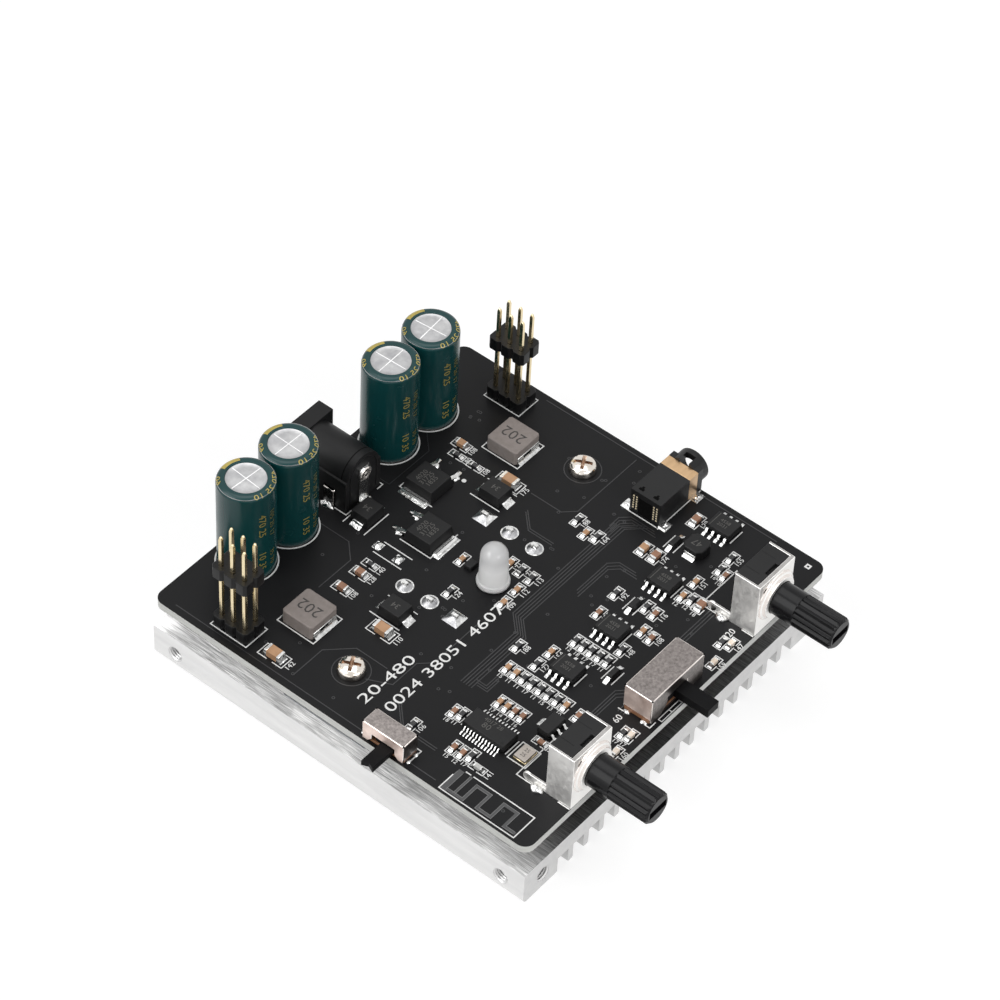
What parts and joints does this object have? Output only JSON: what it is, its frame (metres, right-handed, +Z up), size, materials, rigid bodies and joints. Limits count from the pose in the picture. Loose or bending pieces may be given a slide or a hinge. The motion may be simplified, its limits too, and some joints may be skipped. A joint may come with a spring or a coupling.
{
  "type": "desktop resonant transformer",
  "caption": "Driver unit of a desktop resonant transformer: square circuit board on a finned heatsink, with rotary controls, slide switches, sockets and tall pin headers.",
  "frame": {"origin": "centre of the square plan on the underside of the heatsink", "axes": "+Z up, -Y towards the edge with the rotary controls, +X right when seen from that edge"},
  "size_m": [0.0865, 0.0959, 0.0349],
  "materials": {
    "heatsink_aluminium": "extruded, lightly brushed on the top",
    "board_laminate": "black solder mask, satin",
    "transistor_plastic": "moulded",
    "tinned_metal": "bright tin plating",
    "insulating_pad": "matt",
    "screw_nickel": "bright nickel plating",
    "sleeve_teal": "glossy printed shrink sleeve",
    "can_aluminium": "bright",
    "light_lens": "milky, translucent",
    "socket_black": "moulded, semi-gloss",
    "audio_brass": "dull plating",
    "bracket_nickel": "bright nickel plating",
    "pot_plastic": "moulded",
    "shaft_plastic": "moulded, satin",
    "switch_nickel": "nickel plating",
    "switch_base_brown": "paper laminate",
    "slider_black": "moulded",
    "header_black": "moulded",
    "pin_gold": "light gold plating",
    "inductor_grey": "pressed powder",
    "chip_plastic": "moulded",
    "crystal_metal": "satin lid",
    "indicator_lens": "pale translucent",
    "ceramic_tan": "fired ceramic",
    "resistor_black": "glazed"
  },
  "bodies": {
    "base": {"audio_socket_body": "socket_black", "audio_socket_contacts": "tinned_metal", "audio_socket_shield": "audio_brass", "capacitor_can_1": "can_aluminium", "capacitor_can_2": "can_aluminium", "capacitor_can_3": "can_aluminium", "capacitor_can_4": "can_aluminium", "capacitor_sleeve_1": "sleeve_teal", "capacitor_sleeve_2": "sleeve_teal", "capacitor_sleeve_3": "sleeve_teal", "capacitor_sleeve_4": "sleeve_teal", "ceramic_capacitors": "ceramic_tan", "chip_packages": "chip_plastic", "chip_resistors": "resistor_black", "circuit_board": "board_laminate", "crystal_can": "crystal_metal", "diode_cases": "chip_plastic", "driver_transistor_cases": "transistor_plastic", "driver_transistor_leads": "tinned_metal", "heatsink": "heatsink_aluminium", "indicator_lights": "indicator_lens", "inductor_cores": "inductor_grey", "inductor_end_plates": "tinned_metal", "insulating_pads": "insulating_pad", "left_header_base": "header_black", "left_header_pins": "pin_gold", "left_header_spacer": "header_black", "left_pot_body": "pot_plastic", "left_pot_bracket": "bracket_nickel", "left_pot_leads": "tinned_metal", "left_transistor_case": "transistor_plastic", "left_transistor_leadframe": "tinned_metal", "mode_switch_base": "switch_base_brown", "mode_switch_leads": "tinned_metal", "mode_switch_shell": "switch_nickel", "package_leads": "tinned_metal", "power_socket_contacts": "tinned_metal", "power_socket_housing": "socket_black", "power_socket_pin": "tinned_metal", "power_switch_base": "switch_base_brown", "power_switch_leads": "tinned_metal", "power_switch_shell": "switch_nickel", "right_header_base": "header_black", "right_header_pins": "pin_gold", "right_header_spacer": "header_black", "right_pot_body": "pot_plastic", "right_pot_bracket": "bracket_nickel", "right_pot_leads": "tinned_metal", "right_transistor_case": "transistor_plastic", "right_transistor_leadframe": "tinned_metal", "status_light_lens": "light_lens", "through_hole_leads": "tinned_metal", "transistor_screws": "screw_nickel"},
    "left_shaft": {"left_pot_shaft": "shaft_plastic"},
    "right_shaft": {"right_pot_shaft": "shaft_plastic"},
    "power_slider": {"power_switch_slider": "slider_black"},
    "mode_slider": {"mode_switch_slider": "slider_black"}
  },
  "joints": [
    {"name": "left_shaft_turn", "type": "hinge", "parent": "base", "child": "left_shaft", "pos_m": [-0.0242, -0.04, 0.0203], "axis": [0, 1, 0], "range_deg": [-150, 150]},
    {"name": "right_shaft_turn", "type": "hinge", "parent": "base", "child": "right_shaft", "pos_m": [0.0242, -0.04, 0.0203], "axis": [0, 1, 0], "range_deg": [-150, 150]},
    {"name": "power_switch_slide", "type": "slide", "parent": "base", "child": "power_slider", "axis": [1, 0, 0], "range_m": [-0.0019, 0]},
    {"name": "mode_switch_slide", "type": "slide", "parent": "base", "child": "mode_slider", "axis": [0, 1, 0], "range_m": [0, 0.0019]}
  ]
}
